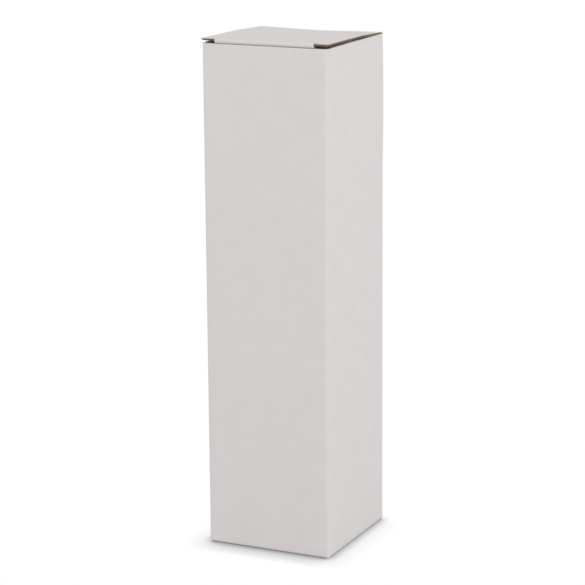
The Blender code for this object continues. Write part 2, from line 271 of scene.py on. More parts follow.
def white_liner(name, across):
    """White-top liner. across is the axis that the flutes repeat along: 0, 1 or 2."""
    finish, tree, shader, place = new_finish(name)
    cloud = node(tree, "TexNoise", Vector=place, Scale=1 / FORMATION, Detail=3.0, Roughness=0.6)
    tone = node(tree, "ValToRGB", Fac=cloud.outputs["Fac"])
    tone.color_ramp.elements[0].position = 0.3
    tone.color_ramp.elements[0].color = srgb("#D4D0CF")
    tone.color_ramp.elements[1].position = 0.7
    tone.color_ramp.elements[1].color = srgb("#D7D3D2")
    stretch = [1 / FIBRE_LENGTH] * 3
    stretch[across] = 1 / FIBRE_WIDTH
    along = node(tree, "Mapping", Vector=place, Scale=stretch)
    fibre = node(tree, "TexNoise", Vector=along.outputs["Vector"], Scale=1.0, Detail=4.0,
                 Roughness=0.65)
    speck = node(tree, "MapRange", Value=fibre.outputs["Fac"], From_Min=0.3, From_Max=0.7,
                 To_Min=0.988, To_Max=1.010)
    colour = node(tree, "Mix", {"data_type": "RGBA", "blend_type": "MULTIPLY"}, _0=1.0,
                  _6=tone.outputs["Color"], _7=speck.outputs["Result"])
    tree.links.new(colour.outputs[2], shader.inputs["Base Color"])
    split = node(tree, "SeparateXYZ", Vector=place)
    phase = node(tree, "Math", {"operation": "MULTIPLY"}, _0=split.outputs[across],
                 _1=2 * math.pi / FLUTE_PITCH)
    wave = node(tree, "Math", {"operation": "SINE"}, _0=phase.outputs[0])
    washboard = node(tree, "Bump", Height=wave.outputs[0], Strength=1.0,
                     Distance=WASHBOARD_DEPTH)
    grain = node(tree, "Bump", Height=fibre.outputs["Fac"], Strength=1.0,
                 Distance=FIBRE_RELIEF, Normal=washboard.outputs["Normal"])
    tree.links.new(grain.outputs["Normal"], shader.inputs["Normal"])
    shader.inputs["Roughness"].default_value = 0.78
    shader.inputs["Specular IOR Level"].default_value = 0.35
    return finish


WHITE = {axis: white_liner("white_top_liner_" + "xyz"[axis], axis) for axis in (0, 1, 2)}
print("white finishes:", [finish.name for finish in WHITE.values()])

# %% [markdown]
# ### Kraft liner and fluting
#
# The inner liner is unbleached recycled kraft: brown and blotchy, with dark specks and a
# fibrous face. The fluted sheet between the liners is a cheaper, greyer paper. A cut edge
# shows all three papers end on. The die crushes it, so it looks duller and greyer than the
# liner's face.

# %% The kraft papers
BLOTCH = 6 * MM
SPECK_SPACING = 2.4 * MM
SHORT_FIBRE = 0.5 * MM
SHORT_FIBRE_RELIEF = 0.05 * MM


def brown_paper(name, dark, light, speck_colour, roughness):
    """Unbleached paper: blotches between two browns, dark specks and a fibrous relief."""
    finish, tree, shader, place = new_finish(name)
    cloud = node(tree, "TexNoise", Vector=place, Scale=1 / BLOTCH, Detail=5.0, Roughness=0.7)
    tone = node(tree, "ValToRGB", Fac=cloud.outputs["Fac"])
    tone.color_ramp.elements[0].position = 0.3
    tone.color_ramp.elements[0].color = srgb(dark)
    tone.color_ramp.elements[1].position = 0.72
    tone.color_ramp.elements[1].color = srgb(light)
    dots = node(tree, "TexVoronoi", Vector=place, Scale=1 / SPECK_SPACING)
    spots = node(tree, "MapRange", Value=dots.outputs["Distance"], From_Min=0.05,
                 From_Max=0.14, To_Min=0.55, To_Max=0.0)
    specked = node(tree, "Mix", {"data_type": "RGBA"}, _0=spots.outputs["Result"],
                   _6=tone.outputs["Color"], _7=srgb(speck_colour))
    tree.links.new(specked.outputs[2], shader.inputs["Base Color"])
    fibre = node(tree, "TexNoise", Vector=place, Scale=1 / SHORT_FIBRE, Detail=6.0,
                 Roughness=0.7)
    bump = node(tree, "Bump", Height=fibre.outputs["Fac"], Strength=1.0,
                Distance=SHORT_FIBRE_RELIEF)
    tree.links.new(bump.outputs["Normal"], shader.inputs["Normal"])
    shader.inputs["Roughness"].default_value = roughness
    shader.inputs["Specular IOR Level"].default_value = 0.25
    return finish


KRAFT = brown_paper("kraft_inner_liner", "#A58A6C", "#B79C7E", "#6E5844", 0.85)
FLUTING = brown_paper("recycled_fluting", "#9C8773", "#AE9984", "#655244", 0.9)
CUT_EDGE = brown_paper("die_cut_edge", "#958779", "#AB9D8E", "#5F5044", 0.9)
PAPERS = [KRAFT, FLUTING, CUT_EDGE]
print("brown finishes:", [finish.name for finish in PAPERS])


def give_finishes(piece, white):
    """The slots of every board: 0 white liner, 1 kraft liner, 2 fluting, 3 cut edge."""
    piece.data.materials.clear()
    for finish in [white] + PAPERS:
        piece.data.materials.append(finish)


def finish_faces(piece, choose):
    """Give each face the slot that choose says."""
    for face in piece.data.polygons:
        face.material_index = choose(face)


# %% [markdown]
# ## The board's three papers
#
# A flap is modelled lying flat, with its crease along X, its white side up and its tip at +Y.
# Each liner is the flap's outline with a paper's thickness. The fluted sheet is one flute,
# drawn as a strip with its rows raised and lowered in a sine, and repeated by an Array. The
# die then cuts it by the same outline: an exact Boolean with a tall prism on that outline.

# %% Liners
def paper_layer(outline, name, top, start, ramp):
    """One liner: the outline from start to the tip, a paper thick, with its top at top."""
    layer = trim(copy_of(outline, name), start)
    if ramp:
        for y in (ramp[0], ramp[0] + ramp[1]):
            edit(layer)
            pick("faces", lambda face: True)
            bpy.ops.mesh.bisect(plane_co=(0, y, 0), plane_no=(0, 1, 0))
            done()
        edit(layer)
        pick("verts", lambda vertex: vertex.co.y > ramp[0] + ramp[1] - 1e-6)
        move((0, 0, -ramp[2]))
    else:
        edit(layer)
    pick("faces", lambda face: True)
    move((0, 0, top - PAPER))
    bpy.ops.mesh.extrude_region_move(TRANSFORM_OT_translate={"value": (0, 0, PAPER)})
    pick("faces", lambda face: True)
    bpy.ops.mesh.normals_make_consistent(inside=False)
    return done()


# %% The fluted sheet
def fluted_sheet(outline, name, start, end, half_run, ramp):
    """The wave between the liners, from start to end, cut by the outline."""
    bpy.ops.mesh.primitive_grid_add(x_subdivisions=1, y_subdivisions=FLUTE_STEPS, size=1)
    sheet = bpy.context.object
    sheet.name = name
    edit(sheet)
    pick("faces", lambda face: True)
    bpy.ops.transform.resize(value=(2 * half_run, FLUTE_PITCH, 1))
    move((0, start + FLUTE_PITCH / 2, 0))
    for step in range(FLUTE_STEPS + 1):
        y = start + FLUTE_PITCH * step / FLUTE_STEPS
        pick("verts", lambda vertex: near(vertex.co.y, y))
        move((0, 0, FLUTE_HEIGHT / 2 * math.sin(2 * math.pi * step / FLUTE_STEPS)))
    done()
    repeat = sheet.modifiers.new("flutes", "ARRAY")
    repeat.use_relative_offset = False
    repeat.use_constant_offset = True
    repeat.constant_offset_displace = (0, FLUTE_PITCH, 0)
    repeat.count = math.ceil((end - start) / FLUTE_PITCH)
    repeat.use_merge_vertices = True
    repeat.merge_threshold = 1e-6
    bpy.ops.object.modifier_apply(modifier=repeat.name)
    trim(sheet, end, keep_beyond=False)
    if ramp:
        raise_rows(sheet, ramp)
    thicken = sheet.modifiers.new("paper", "SOLIDIFY")
    thicken.thickness = PAPER
    thicken.offset = 0.0
    bpy.ops.object.modifier_apply(modifier=thicken.name)
    return die_cut(sheet, outline)


def raise_rows(sheet, ramp):
    """Shift the rows beyond the ramp's start, each by its share of the rise."""
    first, length, rise = ramp
    rows = sorted({round(vertex.co.y, 7) for vertex in sheet.data.vertices})
    edit(sheet)
    for y in rows:
        if first < y < first + length:
            pick("verts", lambda vertex: near(vertex.co.y, y, 1e-6))
            move((0, 0, -rise * (y - first) / length))
    pick("verts", lambda vertex: vertex.co.y > first + length - 1e-6)
    move((0, 0, -rise))
    done()


DIE_DEPTH = 12 * MM


def die_cut(piece, outline):
    """Keep what lies inside the outline, which is made a tall prism for the cut."""
    die = copy_of(outline, "die")
    edit(die)
    pick("faces", lambda face: True)
    move((0, 0, -DIE_DEPTH))
    bpy.ops.mesh.extrude_region_move(TRANSFORM_OT_translate={"value": (0, 0, 2 * DIE_DEPTH)})
    pick("faces", lambda face: True)
    bpy.ops.mesh.normals_make_consistent(inside=False)
    done()
    bpy.context.view_layer.objects.active = piece
    cut = piece.modifiers.new("die", "BOOLEAN")
    cut.operation = "INTERSECT"
    cut.solver = "EXACT"
    cut.object = die
    bpy.ops.object.modifier_apply(modifier=cut.name)
    bpy.data.objects.remove(die)
    return piece


# %% [markdown]
# ### The crease
#
# Along a crease the die has crushed the three papers into one solid strip, and that strip
# bends. Its cross-section is drawn as a closed outline, extruded along the crease, and cut by
# the same die.

# %% The crease strip
def turn_points(centre, radius, start, end, steps):
    """Points on an arc in the section's plane, between two angles in degrees."""
    points = []
    for step in range(steps + 1):
        angle = math.radians(start + (end - start) * step / steps)
        points.append((centre[0] + radius * math.cos(angle),
                       centre[1] + radius * math.sin(angle)))
    return points


def crease_strip(name, section, half_run):
    """A prism along X on a closed section of (y, z) points."""
    bpy.ops.mesh.primitive_circle_add(vertices=len(section), radius=START_RADIUS,
                                      fill_type="NGON")
    strip = bpy.context.object
    strip.name = name
    edit(strip)
    start = [vertex.co.copy() for vertex in bmesh.from_edit_mesh(strip.data).verts]
    for index, (y, z) in enumerate(section):
        pick("verts", lambda vertex: vertex.index == index)
        move(Vector((-half_run, y, z)) - start[index])
    pick("faces", lambda face: True)
    bpy.ops.mesh.extrude_region_move(TRANSFORM_OT_translate={"value": (2 * half_run, 0, 0)})
    pick("faces", lambda face: True)
    bpy.ops.mesh.normals_make_consistent(inside=False)
    return done()


def join(name, pieces):
    """Make one piece of several."""
    bpy.ops.object.select_all(action="DESELECT")
    for piece in pieces:
        piece.select_set(True)
    bpy.context.view_layer.objects.active = pieces[0]
    bpy.ops.object.join()
    bpy.context.object.name = name
    return bpy.context.object


def put_in_place(piece, hinge, into, outward):
    """Stand a flat piece where its node is, and leave its object at the origin, unturned."""
    along = Vector(into).cross(Vector(outward))
    turn = Matrix((along, into, outward)).transposed().to_4x4()
    piece.matrix_world = Matrix.Translation(hinge) @ turn
    bpy.ops.object.select_all(action="DESELECT")
    piece.select_set(True)
    bpy.context.view_layer.objects.active = piece
    bpy.ops.object.transform_apply(location=True, rotation=True, scale=True)
    return piece


# %% [markdown]
# ## A whole flap
#
# A flap is its crease and its three papers, joined into one piece. Each face is then given the
# paper that it is made of: white on the outside, kraft on the inside, and the die's dull cut
# along every edge.

# %% Crease, liners and flutes together
OVERRUN = 6 * MM
FLAP_START = 3.4 * MM
BOTTOM_START = 2.4 * MM


def beside(point, start, end):
    """How far a point of the section is from one straight stretch of it."""
    a, b, p = Vector(start), Vector(end), Vector(point)
    share = max(0.0, min(1.0, (p - a).dot(b - a) / (b - a).length_squared))
    return (a + (b - a) * share - p).length


def finish_strip(strip, section, outer_count):
    """White on the first outer_count points of the section, kraft on the rest."""
    stretches = list(zip(section, section[1:] + section[:1]))
    last = outer_count - 1
    caps = (last, len(section) - 1)

    def paper_of(face):
        if abs(face.normal.x) > 0.5:
            return 3
        here = (face.center.y, face.center.z)
        index = min(range(len(stretches)), key=lambda i: beside(here, *stretches[i]))
        if index in caps:
            return 3
        return 0 if index < last else 1

    finish_faces(strip, paper_of)


def papers(name, corners, white, start, ramp=None):
    """The two liners and the fluted sheet of a flap, still lying flat."""
    outline = outline_sheet(name + "_outline", corners)
    reach = max(corner[1] for corner in corners)
    half_run = max(abs(corner[0]) for corner in corners) + OVERRUN
    outer = paper_layer(outline, name + "_outer", HALF_BOARD, start, ramp)
    inner = paper_layer(outline, name + "_inner", -HALF_BOARD + PAPER, start, ramp)
    waves = fluted_sheet(outline, name + "_waves", start, reach, half_run, ramp)
    for layer in (outer, inner, waves):
        give_finishes(layer, white)
    finish_faces(outer, lambda face: 0 if face.normal.z > 0.5 else 3)
    finish_faces(inner, lambda face: 1 if face.normal.z < -0.5 else 3)
    finish_faces(waves, lambda face: 2)
    return outline, [outer, inner, waves]


def flap(name, corners, white, section, outer_count, start, ramp=None):
    """A flap lying flat: its creased strip and its three papers."""
    outline, layers = papers(name, corners, white, start, ramp)
    half_run = max(abs(corner[0]) for corner in corners) + OVERRUN
    strip = die_cut(crease_strip(name + "_crease", section, half_run), outline)
    give_finishes(strip, white)
    finish_strip(strip, section, outer_count)
    bpy.data.objects.remove(outline)
    return join(name, [strip] + layers)


# %% [markdown]
# The die's rubber and the knock of handling leave a board thinner along its cut rims than in
# its middle. Three cuts beside each rim give rows to work with, and each band of rows is scaled
# towards the board's middle, the outermost most. The rim also settles a little, and a grid cut
# through all three papers alike lets them bend together later on.

# %% Crushed rims and a grid for bending
CRUSH_BANDS = ((-9.0, 0.17, 1.0), (0.17, 0.5, 0.74), (0.5, 0.83, 0.26))


def crush(piece, rims, depth, thinner, shift):
    """Flatten the board along its rims: two (x, y) ends each, with the board on the left."""
    sides = [(Vector(a), (Vector(b) - Vector(a)).normalized()) for a, b in rims]

    def inside(vertex):
        return min((vertex.co.xy - start).dot(Vector((-run.y, run.x))) for start, run in sides)

    edit(piece)
    for start, run in sides:
        for step in (1, 2, 3):
            place = start + Vector((-run.y, run.x)) * depth * step / 3
            pick("verts", lambda vertex: vertex.co.y > -1e-6)
            bpy.ops.mesh.bisect(plane_co=(*place, 0), plane_no=(-run.y, run.x, 0))
    for last, reach, weight in CRUSH_BANDS:
        pick("verts", lambda vertex: last * depth < inside(vertex) <= reach * depth
             and vertex.co.y > -1e-6)
        bpy.ops.transform.resize(value=(1, 1, 1 - weight * thinner), center_override=(0, 0, 0))
        move((0, 0, weight * shift))
    return done()


def cross_cuts(piece, along, across):
    """Cut a grid into every layer alike, so that the layers bend together."""
    edit(piece)
    for places, axis in ((along, (1, 0, 0)), (across, (0, 1, 0))):
        for place in places:
            pick("faces", lambda face: True)
            bpy.ops.mesh.bisect(plane_co=Vector(axis) * place * MM, plane_no=axis)
    done()


def smooth(piece, angle=35):
    """Shade smoothly, but keep the folds and cut edges sharp."""
    bpy.ops.object.select_all(action="DESELECT")
    piece.select_set(True)
    bpy.context.view_layer.objects.active = piece
    bpy.ops.object.shade_smooth_by_angle(angle=math.radians(angle))
    return piece


def report(piece):
    """Print a piece's face count and its size."""
    size = [round(side / MM, 2) for side in piece.dimensions]
    print(piece.name, "faces:", len(piece.data.polygons), "size in mm:", size)


# %% [markdown]
# ## The tube
#
# The tube is the part of the blank that wraps round the flask: left wall, front, right, back
# and the glue flap. In plan it is a line with five stretches, so it starts as a plane whose
# face is deleted. A vertex bevel turns the corners into folds 1.8 mm in radius, extrudes
# raise the line, and Solidify gives it the board's thickness on its inner side.

# %% The tube's plan
SEAM_X = -HALF_WIDTH + BOARD + GAP
SEAM_END = HALF_DEPTH - 0.5 * MM
SEAM_OPEN = 2.2 * MM
WALL_REAR = SEAM_END - SEAM_OPEN
GLUE_END = 18.9 * MM
ANKLE = 6 * MM
FOOT_SHAPE = ((0, 0.7), (0.4 * MM, 0.88), (0.9 * MM, 0.98), (1.5 * MM, 1.08),
              (2.2 * MM, 1.12), (FOOT, 1.08), (4.4 * MM, 1.03))
LEVELS = [level for level, _ in FOOT_SHAPE] + [ANKLE, SHOULDER, HEIGHT]

bpy.ops.mesh.primitive_plane_add(size=1)
tube = bpy.context.object
tube.name = "carton_tube"
edit(tube)
pick("faces", lambda face: True)
bpy.ops.transform.resize(value=(WIDTH, DEPTH, 1))
bpy.ops.mesh.delete(type="ONLY_FACE")
pick("edges", lambda edge: middle(edge).x < -HALF_WIDTH + MM)
bpy.ops.mesh.delete(type="EDGE")
pick("verts", lambda vertex: vertex.co.x < 0 and vertex.co.y < 0)
bpy.ops.mesh.extrude_region_move(
    TRANSFORM_OT_translate={"value": (0, WALL_REAR + HALF_DEPTH, 0)})
pick("verts", lambda vertex: vertex.co.x < 0 and vertex.co.y > HALF_DEPTH - 0.1 * MM)
move((SEAM_X + HALF_WIDTH, 0, 0))
bpy.ops.mesh.extrude_region_move(
    TRANSFORM_OT_translate={"value": (0, GLUE_END - HALF_DEPTH, 0)})
pick("verts", lambda vertex: len(vertex.link_edges) == 2)
bpy.ops.mesh.bevel(offset=FOLD_RADIUS, segments=8, affect="VERTICES", clamp_overlap=False)
done()
print("corners in the tube's plan:", len(tube.data.vertices))

# %% Raise the walls, and clear the strips that the creases take
edit(tube)
for foot, top in zip(LEVELS, LEVELS[1:]):
    pick("edges", lambda edge: all(near(vertex.co.z, foot) for vertex in edge.verts))
    bpy.ops.mesh.extrude_region_move(TRANSFORM_OT_translate={"value": (0, 0, top - foot)})
FLAT = FOLD_RADIUS * 2


def flat_panel(face):
    """True for the flat walls, not for the narrow facets of their folds."""
    spans = [(edge.verts[0].co - edge.verts[1].co) for edge in face.edges]
    return max(math.hypot(span.x, span.y) for span in spans) > FLAT


pick("faces", lambda face: flat_panel(face) and middle(face).z < FOOT)
bpy.ops.mesh.delete(type="FACE")
pick("faces", lambda face: flat_panel(face) and middle(face).z > SHOULDER
     and middle(face).y > -HALF_DEPTH + MM)
bpy.ops.mesh.delete(type="FACE")
done()
report(tube)

# %% Cut the glue flap's two slanted ends
TAPER = math.tan(math.radians(15))
GLUE_FOLD = HALF_DEPTH - FOLD_RADIUS
GLUE_TOP = HEIGHT - 6 * MM
GLUE_FOOT = 8 * MM


def glue_face(face):
    """True for the flat faces of the glue flap."""
    here = middle(face)
    return near(here.x, SEAM_X) and here.y < GLUE_FOLD


for z, outward in ((GLUE_TOP, 1), (GLUE_FOOT, -1)):
    edit(tube)
    pick("faces", glue_face)
    bpy.ops.mesh.bisect(plane_co=(SEAM_X, GLUE_FOLD, z), plane_no=(0, -TAPER, outward),
                        clear_outer=True)
    done()
report(tube)

# %% [markdown]
# ### Bowed walls and worn corners
#
# Folded board never lies dead flat. The front and right walls bow in a little, the back and
# left ones more, by up to a quarter of a millimetre. A flat wall has no vertices to move, so it
# is subdivided first, and the rows run on round the folds. Proportional editing then moves the
# middle of a wall and fades out before its folds. At the foot of each corner the fold is
# squashed where the box stands on it, and swells just above. One corner was pushed out.

# %% Rows for the walls to bow by
BULGE = 0.25 * MM
BULGE_ROWS = 11

edit(tube)
pick("faces", lambda face: flat_panel(face) and not glue_face(face)
     and ANKLE < middle(face).z < SHOULDER)
bpy.ops.mesh.subdivide(number_cuts=BULGE_ROWS)
for row in range(1, BULGE_ROWS + 1):
    pick("faces", lambda face: not flat_panel(face) or glue_face(face))
    height = ANKLE + (SHOULDER - ANKLE) * row / (BULGE_ROWS + 1)
    bpy.ops.mesh.bisect(plane_co=(0, 0, height), plane_no=(0, 0, 1))
pick("faces", lambda face: True)
bpy.ops.mesh.remove_doubles(threshold=1e-6)
bpy.ops.mesh.normals_make_consistent(inside=False)
done()
front_normals = [face.normal.y for face in tube.data.polygons
                 if near(face.center.y, -HALF_DEPTH)]
if sum(front_normals) > 0:
    edit(tube)
    pick("faces", lambda face: True)
    bpy.ops.mesh.flip_normals()
    done()
report(tube)

# %% Bow the walls, squash the feet and push one corner
BULGE_REACH = 32 * MM
BULGE_HALF = 4 * MM
BULGE_LOW, BULGE_HIGH = 60 * MM, 215 * MM
KNOCK_LOW, KNOCK_HIGH = 215 * MM, 245 * MM
KNOCK = 0.3 * MM
KNOCK_REACH = 21 * MM
FOOT_INSET = 0.15 * MM


def bulge(axis, side, offset):
    """Push the middle of one wall in or out, fading to nothing before its folds."""
    edit(tube)
    across = 1 - axis
    pick("verts", lambda vertex: near(vertex.co[axis], side, 1e-4)
         and abs(vertex.co[across]) < BULGE_HALF and BULGE_LOW < vertex.co.z < BULGE_HIGH)
    shift = [0, 0, 0]
    shift[axis] = offset
    move(shift, use_proportional_edit=True, proportional_edit_falloff="SMOOTH",
         proportional_size=BULGE_REACH)
    done()


def push(x, y, low, high, offset, size):
    """Push one fold out, as a knock or a tight crease does."""
    edit(tube)
    pick("verts", lambda vertex: vertex.co.x * x > 0 and vertex.co.y * y > 0
         and abs(vertex.co.x) > HALF_WIDTH - FOLD_RADIUS * 0.9
         and abs(vertex.co.y) > HALF_DEPTH - FOLD_RADIUS * 0.9 and low < vertex.co.z < high)
    move(offset, use_proportional_edit=True, proportional_edit_falloff="SMOOTH",
         proportional_size=size)
    done()


bulge(1, -HALF_DEPTH, 0.4 * BULGE)
bulge(0, HALF_WIDTH, -0.6 * BULGE)
bulge(1, HALF_DEPTH, -BULGE)
bulge(0, -HALF_WIDTH, BULGE)
for side_x, side_y in ((-1, -1), (1, -1), (1, 1)):
    corner = (side_x * (HALF_WIDTH - FOLD_RADIUS), side_y * (HALF_DEPTH - FOLD_RADIUS), 0)
    edit(tube)
    for level, spread in FOOT_SHAPE:
        inset = 0 if spread < 1 else FOOT_INSET
        pick("verts", lambda vertex: near(vertex.co.z, level)
             and vertex.co.x * side_x > HALF_WIDTH - FOLD_RADIUS - 1e-6 + inset
             and vertex.co.y * side_y > HALF_DEPTH - FOLD_RADIUS - 1e-6 + inset)
        bpy.ops.transform.resize(value=(spread, spread, 1), center_override=corner)
    done()
push(1, 1, KNOCK_LOW, KNOCK_HIGH, (KNOCK, 0, 0), KNOCK_REACH)
report(tube)

# %% Thicken the tube
give_finishes(tube, WHITE[2])
finish_faces(tube, lambda face: 0)
thicken = tube.modifiers.new("board", "SOLIDIFY")
thicken.thickness = BOARD
thicken.offset = -1.0
thicken.material_offset = 1
thicken.material_offset_rim = 3
bpy.context.view_layer.objects.active = tube
bpy.ops.object.modifier_apply(modifier=thicken.name)
finish_faces(tube, lambda face: 0 if face.material_index == 3 and face.center.z < FOOT
             else face.material_index)
report(tube)

# %% [markdown]
# Two more cut edges of the tube can be seen: the front wall's top and the glue flap's edge,
# inside. There the board shows its two liners with a hollow between them. An inset leaves a
# paper's width on each side, and what lies between is sunk.

# %% Hollow the visible cut edges
HOLLOW_DEPTH = 0.7 * MM
HOLLOW_SLOPE = 0.05 * MM

edit(tube)
pick("faces", lambda face: face.normal.z > 0.9 and near(middle(face).z, HEIGHT)
     and middle(face).y < 0)
bpy.ops.mesh.inset(thickness=PAPER, use_boundary=True)
move((0, 0, -HOLLOW_DEPTH))
pick("faces", lambda face: face.material_index == 3 and abs(face.normal.x) < 0.5
     and near(middle(face).x, SEAM_X + HALF_BOARD, 0.3 * MM)
     and middle(face).y < GLUE_FOLD - 0.1 * MM)
bpy.ops.mesh.inset(thickness=PAPER, use_boundary=True)
bpy.ops.mesh.inset(thickness=HOLLOW_SLOPE, depth=-HOLLOW_DEPTH, use_boundary=True)
done()
report(tube)

# %% [markdown]
# ### The glued seam
#
# The left wall ends in the die's upright cut at the back. The flutes run level round the tube,
# so this is where they show end on, as a row of small waves. The last two millimetres of the
# wall are therefore built from its three papers instead of from solid board.

# %% The open flutes at the seam
seam_height = SHOULDER + 2.2 * MM - LAYER
seam_corners = [(-WALL_REAR, 0, 0), (-WALL_REAR, seam_height, 0),
                (-SEAM_END, seam_height, 0), (-SEAM_END, 0, 0)]
seam_outline, seam_papers = papers("seam", seam_corners, WHITE[2], 0)
bpy.data.objects.remove(seam_outline)
seam = join("seam_edge", seam_papers)
put_in_place(seam, Vector((-HALF_WIDTH + HALF_BOARD, 0, LAYER)), (0, 0, 1), (-1, 0, 0))
tube = join("carton_tube", [tube, seam])
smooth(tube)
report(tube)

# %% [markdown]
# ## The lid
#
# The lid is hinged on the back wall. Its front corners are ears: a slit on each side lets the
# tuck flap fold down while the ears stay out, and they keep the lid from sinking into the box.
# The photograph shows their cut edges as the two brown marks at the front corners. The die
# crushes the crease, so the outer liner rounds it and the inner liner buckles into it.

# %% The lid panel and its crease
LID_INTO = Vector((0, -math.cos(LID_TILT), math.sin(LID_TILT)))
LID_OUT = Vector((0, math.sin(LID_TILT), math.cos(LID_TILT)))
LID_HALF = HALF_WIDTH + 0.5 * MM
LID_LENGTH = LID_HINGE.y + HALF_DEPTH - 0.35 * MM
EAR_START = LID_HALF - 7.5 * MM
TUCK_START = 65.0 * MM


def flat_points(points, hinge, into, outward):
    """World (y, z) points, as they lie in a flap's own frame."""
    local = []
    for y, z in points:
        offset = Vector((0, y, z)) - Vector((0, hinge.y, hinge.z))
        local.append((offset.dot(into), offset.dot(outward)))
    return local


def wall_of_lid(points):
    """Points of the box's (y, z), as the lid's own section has them."""
    return flat_points(points, LID_HINGE, LID_INTO, LID_OUT)


back_face = HALF_DEPTH
back_inner = HALF_DEPTH - BOARD
lid_outer = wall_of_lid([(back_face, SHOULDER + rise * MM) for rise in (0, 2.2, 3.2, 4.2)])
lid_outer += turn_points((0.05 * MM, -0.8 * MM), 0.8 * MM, 180, 90, 8)
lid_outer += [(0.8 * MM, 0.15 * MM), (1.6 * MM, 0.38 * MM), (2.4 * MM, 0.6 * MM),
              (FLAP_START, HALF_BOARD)]
lid_inner = [(FLAP_START, -HALF_BOARD)]
lid_inner += [(y * MM, -HALF_BOARD) for y in (2.9, 2.4, 1.9, 1.4)]
lid_inner += [(1.05 * MM, -0.85 * MM)]
lid_inner += wall_of_lid([(back_inner, SHOULDER + rise * MM)
                          for rise in (3.9, 3.4, 2.9, 2.4, 1.9, 1.2, 0)])
lid_section = lid_outer + lid_inner
ear = [(LID_HALF, LID_LENGTH, 0.8 * MM), (EAR_START, LID_LENGTH, 0), (EAR_START, TUCK_START, 0)]
flare = (HALF_WIDTH - 0.1 * MM, 1.2 * MM, 0)
seam_side = -(SEAM_X + FOLD_RADIUS)
far_side = HALF_WIDTH - FOLD_RADIUS
lid_corners = [(seam_side, -OVERRUN, 0), (seam_side, -0.4 * MM, 0), flare]
lid_corners += mirrored(ear)
lid_corners += [(-flare[0], flare[1], 0), (-far_side, -0.4 * MM, 0), (-far_side, -OVERRUN, 0)]
lid = flap("lid_board", lid_corners, WHITE[1], lid_section, len(lid_outer), FLAP_START)
report(lid)

# %% [markdown]
# ### The lid's rims and its sunk rear edge
#
# In the photograph the lid's rear edge lies about a millimetre lower than a flat lid's would,
# and lowest in its middle, as if the crease had been pressed down. Two proportional moves sink
# it, one over the whole width and one in the middle. The crease's strip on the back wall has
# to follow without tearing away from the wall, so its rows come down one by one, each by a
# smooth share of the way, from nothing at its lowest row to all of it at the top.

# %% Crush the rims and sink the rear edge
RIM_DEPTH = 2.4 * MM
RIM_SETTLE = 0.27 * MM
SAG = 0.8 * MM
SAG_REACH = 26 * MM
MIDDLE_SAG = 0.65 * MM
MIDDLE_HALF = 7 * MM
MIDDLE_REACH = 36 * MM
REAR_STRIP = 4 * MM
CREASE_LINE = 0.8 * MM
WALL_TOP = -1.3 * MM

front_right, front_left = (LID_HALF, LID_LENGTH), (-LID_HALF, LID_LENGTH)
lid_rims = [((LID_HALF, 0), front_right), (front_right, front_left),
            (front_left, (-LID_HALF, 0))]
crush(lid, lid_rims, RIM_DEPTH, 0.45, RIM_SETTLE)
cross_cuts(lid, (-24, -12, 0, 12, 24), (8, 16, 28, 44))


def lower_rear(chosen, share):
    """Sink the lid's rear edge, more in its middle. Only the chosen vertices move."""
    edit(lid)
    pick("verts", chosen)
    bpy.ops.mesh.hide(unselected=True)
    for half_width, depth, reach in ((LID_HALF, SAG, SAG_REACH),
                                     (MIDDLE_HALF, MIDDLE_SAG, MIDDLE_REACH)):
        pick("verts", lambda vertex: abs(vertex.co.x) < half_width + MM
             and vertex.co.y < REAR_STRIP)
        move((0, 0, -share * depth), use_proportional_edit=True,
             proportional_edit_falloff="SMOOTH", proportional_size=reach)
    bpy.ops.mesh.reveal()
    done()


wall_rows = sorted({round(vertex.co.z, 6) for vertex in lid.data.vertices
                    if vertex.co.y < CREASE_LINE and vertex.co.z < WALL_TOP})
lower_rear(lambda vertex: vertex.co.y > CREASE_LINE or vertex.co.z > WALL_TOP, 1)
for row in wall_rows:
    rise = (row - wall_rows[0]) / (WALL_TOP - wall_rows[0])
    lower_rear(lambda vertex: vertex.co.y < CREASE_LINE and near(vertex.co.z, row, 1e-6),
               rise * rise * (3 - 2 * rise))
print("rows of the crease on the back wall:", len(wall_rows))
put_in_place(lid, LID_HINGE, LID_INTO, LID_OUT)
smooth(lid)
report(lid)

# %% [markdown]
# ## The tuck flap
#
# The tuck flap goes down behind the front wall and holds the lid shut. Its crease is wide, so
# the board rolls over the front wall's cut edge in a soft white bead, nearly flush with the
# wall. In the photograph the bead darkens slowly towards the gap above the front wall. So it
# gets a tight brow at the top and a wide belly, which turns under and away from the light.
# The bead and the flap are one section, drawn in the box's own height and depth.

# %% The tuck flap and its rolled crease
TUCK_INTO = Vector((0, math.sin(TUCK_LEAN), -math.cos(TUCK_LEAN)))
TUCK_OUT = Vector((0, -math.cos(TUCK_LEAN), -math.sin(TUCK_LEAN)))
TUCK_HALF = EAR_START - GAP
TUCK_LENGTH = 16.5 * MM
TUCK_SHOULDER = 31.1 * MM
BEAD_CLEARANCE = 0.06 * MM
BEAD_SETBACK = 0.12 * MM
BROW = 0.65 * MM
UNDERCUT = 32


def lid_point(distance, height):
    """A point of the lid's section, in the box's own (y, z)."""
    point = LID_HINGE + LID_INTO * distance + LID_OUT * height
    return (point.y, point.z)


def wall_of_tuck(points):
    """Points of the box's (y, z), as the tuck flap's own section has them."""
    return flat_points(points, TUCK_HINGE, TUCK_INTO, TUCK_OUT)


